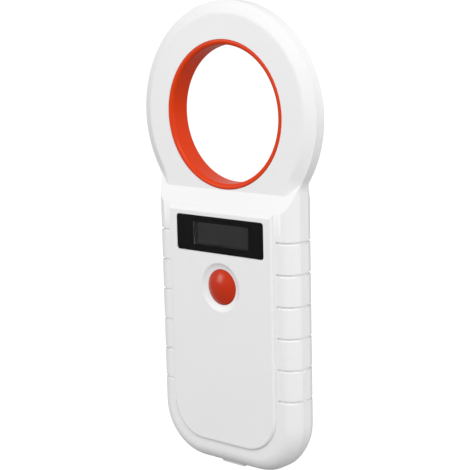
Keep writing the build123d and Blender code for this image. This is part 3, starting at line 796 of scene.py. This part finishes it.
class READER_OT_display(bpy.types.Operator):
    """Finish the display window and the display behind it"""

    bl_idname = "reader.display"
    bl_label = "Display"

    def execute(self, context):
        settings = context.scene.window_settings
        low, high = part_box("display_window")
        bm = block(low, high)
        corners = [
            edge
            for edge in bm.edges
            if abs(edge.verts[0].co.y - edge.verts[1].co.y) > 0.5 * (high.y - low.y)
        ]
        round_edges(bm, corners, settings.corner_round, 8)
        front = [
            edge for edge in bm.edges if all(abs(vert.co.y - low.y) < ON_LINE for vert in edge.verts)
        ]
        round_edges(bm, front, settings.edge_round, 2)
        bmesh.ops.recalc_face_normals(bm, faces=bm.faces)
        piece = new_piece(
            "display_window_pane", bm, self.clear(settings), "root", "clear_window", "display_window"
        )
        crisp(piece, PANE_ROUND, CORNER_TURN, segments=1)
        dress("window_mask", plastic("mask_black", settings.mask_colour, 0.3, mottle=0.2, wear=0.0))
        glass = plastic(
            "display_glass",
            settings.glass_colour,
            0.12,
            grain_size=0.2 * MM,
            grain_depth=0.001 * MM,
            mottle=0.25,
            wear=0.0,
        )
        dress("display_panel", glass)
        return {"FINISHED"}

    def clear(self, settings):
        """Clear moulded window with faint rub marks."""
        made, tree, shader = new_material("window_clear")
        grain = place_group(
            tree, "Moulded Grain", {"Scale": 1.0 / WINDOW_GRAIN, "Mottle Scale": WINDOW_MOTTLE}
        )
        gloss = add_node(
            tree,
            "ShaderNodeMapRange",
            {
                "Value": grain.outputs["Mottle"],
                "To Min": 0.5 * settings.window_roughness,
                "To Max": 1.5 * settings.window_roughness,
            },
        )
        tree.links.new(gloss.outputs["Result"], shader.inputs["Roughness"])
        shader.inputs["Transmission Weight"].default_value = 1.0
        shader.inputs["IOR"].default_value = 1.3
        return made


class READER_OT_antenna(bpy.types.Operator):
    """Wind the antenna"""

    bl_idname = "reader.antenna"
    bl_label = "Antenna"

    def execute(self, context):
        settings = context.scene.antenna_settings
        low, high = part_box("antenna_coil")
        centre = Vector((0.0, 0.0, (low.z + high.z) / 2))
        outer = (high.x - low.x) / 2
        pitch = settings.wire_pitch
        columns = int((high.y - low.y) / pitch)
        rows = int(settings.winding_depth / pitch)
        bm = bmesh.new()
        for column in range(columns):
            depth = (low.y + high.y) / 2 + (column - (columns - 1) / 2) * pitch
            for row in range(rows):
                self.turn(bm, centre, outer - (row + 0.5) * pitch, depth, settings.wire_radius)
        bmesh.ops.recalc_face_normals(bm, faces=bm.faces)
        copper = plastic(
            "enamelled_copper",
            settings.colour,
            0.3,
            grain_size=0.5 * MM,
            grain_depth=0.004 * MM,
            mottle=0.15,
            wear=0.0,
            coat=0.5,
            metallic=0.8,
        )
        new_piece("antenna_winding", bm, copper, "root", "copper_wire", "antenna_coil")
        return {"FINISHED"}

    def turn(self, bm, centre, radius, depth, wire_radius):
        """One turn of wire round the ring."""
        made = bmesh.ops.create_circle(
            bm,
            segments=WIRE_SIDES,
            radius=wire_radius,
            matrix=Matrix.Translation(centre + Vector((radius, depth, 0.0))),
        )["verts"]
        rim = {edge for vert in made for edge in vert.link_edges}
        bmesh.ops.spin(
            bm,
            geom=made + list(rim),
            cent=centre,
            axis=(0.0, 1.0, 0.0),
            angle=2 * math.pi,
            steps=WIRE_STEPS,
            use_merge=True,
        )


class READER_OT_inner(bpy.types.Operator):
    """Finish the parts inside and the small parts outside"""

    bl_idname = "reader.inner"
    bl_label = "Inner parts"

    def execute(self, context):
        for finish, (values, nodes) in FINISHES.items():
            made = plastic(finish, **values)
            for node in nodes:
                dress(node, made)
        return {"FINISHED"}


# Square lights: place in metres, side in metres and power in watts
LIGHTS = {
    "key": {"place": (0.55, -0.75, 0.95), "size": 0.6, "power": 7.4},
    "side": {"place": (1.1, 0.1, 0.3), "size": 0.7, "power": 3.6},
    "fill": {"place": (-0.75, -0.95, 0.38), "size": 0.45, "power": 3.2},
}
FLOOR_GLOW = 0.82
FLOOR_TONES = (0.34, 0.36)
SKY_LIGHT = 0.6
SKY_SEEN = 1.0


class READER_OT_stage(bpy.types.Operator):
    """Add the floor, the lights and the camera"""

    bl_idname = "reader.stage"
    bl_label = "Stage"

    def execute(self, context):
        settings = context.scene.stage_settings
        scene = context.scene
        scene.view_settings.view_transform = "Standard"
        bm = bmesh.new()
        bmesh.ops.create_circle(
            bm,
            cap_ends=True,
            segments=96,
            radius=settings.floor_radius,
            matrix=Matrix.Translation((0.0, 0.0, -settings.floor_gap)),
        )
        made, tree, shader = new_material("floor_pale")
        shade_noise = add_node(
            tree,
            "ShaderNodeTexNoise",
            {"Vector": add_node(tree, "ShaderNodeTexCoord").outputs["Object"], "Scale": 3.0},
        )
        level = add_node(
            tree,
            "ShaderNodeMapRange",
            {"Value": shade_noise.outputs["Fac"], "To Min": FLOOR_TONES[0], "To Max": FLOOR_TONES[1]},
        )
        tree.links.new(level.outputs["Result"], shader.inputs["Base Color"])
        shader.inputs["Roughness"].default_value = 0.9
        shader.inputs["Emission Color"].default_value = (1.0, 1.0, 1.0, 1.0)
        seen = add_node(
            tree,
            "ShaderNodeMath",
            {0: add_node(tree, "ShaderNodeLightPath").outputs["Is Camera Ray"], 1: FLOOR_GLOW},
            operation="MULTIPLY",
        )
        tree.links.new(seen.outputs["Value"], shader.inputs["Emission Strength"])
        mesh = bpy.data.meshes.new("floor")
        bm.to_mesh(mesh)
        bm.free()
        floor = bpy.data.objects.new("floor", mesh)
        mesh.materials.append(made)
        scene.collection.objects.link(floor)

        world = bpy.data.worlds.new("studio")
        world.use_nodes = True
        sky = world.node_tree.nodes["Background"]
        sky.inputs["Color"].default_value = (1.0, 1.0, 1.0, 1.0)
        strength = add_node(
            world.node_tree,
            "ShaderNodeMapRange",
            {
                "Value": add_node(world.node_tree, "ShaderNodeLightPath").outputs["Is Camera Ray"],
                "To Min": SKY_LIGHT,
                "To Max": SKY_SEEN,
            },
        )
        world.node_tree.links.new(strength.outputs["Result"], sky.inputs["Strength"])
        scene.world = world

        for name, values in LIGHTS.items():
            self.add_light(scene, name, **values)

        camera_data = bpy.data.cameras.new("camera")
        camera_data.sensor_width = 36.0
        camera_data.lens = settings.lens
        camera = bpy.data.objects.new("camera", camera_data)
        level_share = math.cos(settings.elevation)
        back = Vector(
            (
                math.sin(settings.azimuth) * level_share,
                -math.cos(settings.azimuth) * level_share,
                math.sin(settings.elevation),
            )
        )
        camera.location = Vector(settings.aim) + back * settings.distance
        camera.rotation_mode = "QUATERNION"
        turn = Quaternion((0.0, 0.0, 1.0), settings.roll)
        camera.rotation_quaternion = (-back).to_track_quat("-Z", "Y") @ turn
        camera_data.clip_start = 0.01
        scene.collection.objects.link(camera)
        scene.camera = camera
        return {"FINISHED"}

    def add_light(self, scene, name, place, size, power):
        """A square soft light that faces the middle of the reader."""
        data = bpy.data.lights.new(name, "AREA")
        data.shape = "SQUARE"
        data.size = size
        data.energy = power
        light = bpy.data.objects.new(name, data)
        light.location = place
        middle = (cad_box[0] + cad_box[1]) / 2
        light.rotation_mode = "QUATERNION"
        light.rotation_quaternion = (middle - Vector(place)).to_track_quat("-Z", "Y")
        scene.collection.objects.link(light)


class READER_PT_panel(bpy.types.Panel):
    """Reader tools in the sidebar"""

    bl_label = "Microchip reader"
    bl_space_type = "VIEW_3D"
    bl_region_type = "UI"
    bl_category = "Reader"

    def draw(self, context):
        for operator in OPERATORS:
            self.layout.operator(operator.bl_idname)


SETTINGS = {
    "casing_settings": CasingSettings,
    "liner_settings": LinerSettings,
    "button_settings": ButtonSettings,
    "window_settings": WindowSettings,
    "antenna_settings": AntennaSettings,
    "stage_settings": StageSettings,
}
OPERATORS = (
    READER_OT_casing,
    READER_OT_liner,
    READER_OT_button,
    READER_OT_display,
    READER_OT_antenna,
    READER_OT_inner,
    READER_OT_stage,
)


def register():
    for settings in SETTINGS.values():
        bpy.utils.register_class(settings)
    for name, settings in SETTINGS.items():
        setattr(bpy.types.Scene, name, bpy.props.PointerProperty(type=settings))
    for operator in OPERATORS:
        bpy.utils.register_class(operator)
    bpy.utils.register_class(READER_PT_panel)


def unregister():
    bpy.utils.unregister_class(READER_PT_panel)
    for operator in reversed(OPERATORS):
        bpy.utils.unregister_class(operator)
    for name in SETTINGS:
        delattr(bpy.types.Scene, name)
    for settings in reversed(SETTINGS.values()):
        bpy.utils.unregister_class(settings)


def main():
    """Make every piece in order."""
    register()
    grain_group()
    wear_group()
    for operator in OPERATORS:
        group, name = operator.bl_idname.split(".")
        getattr(getattr(bpy.ops, group), name)()


if __name__ == "__main__":
    main()
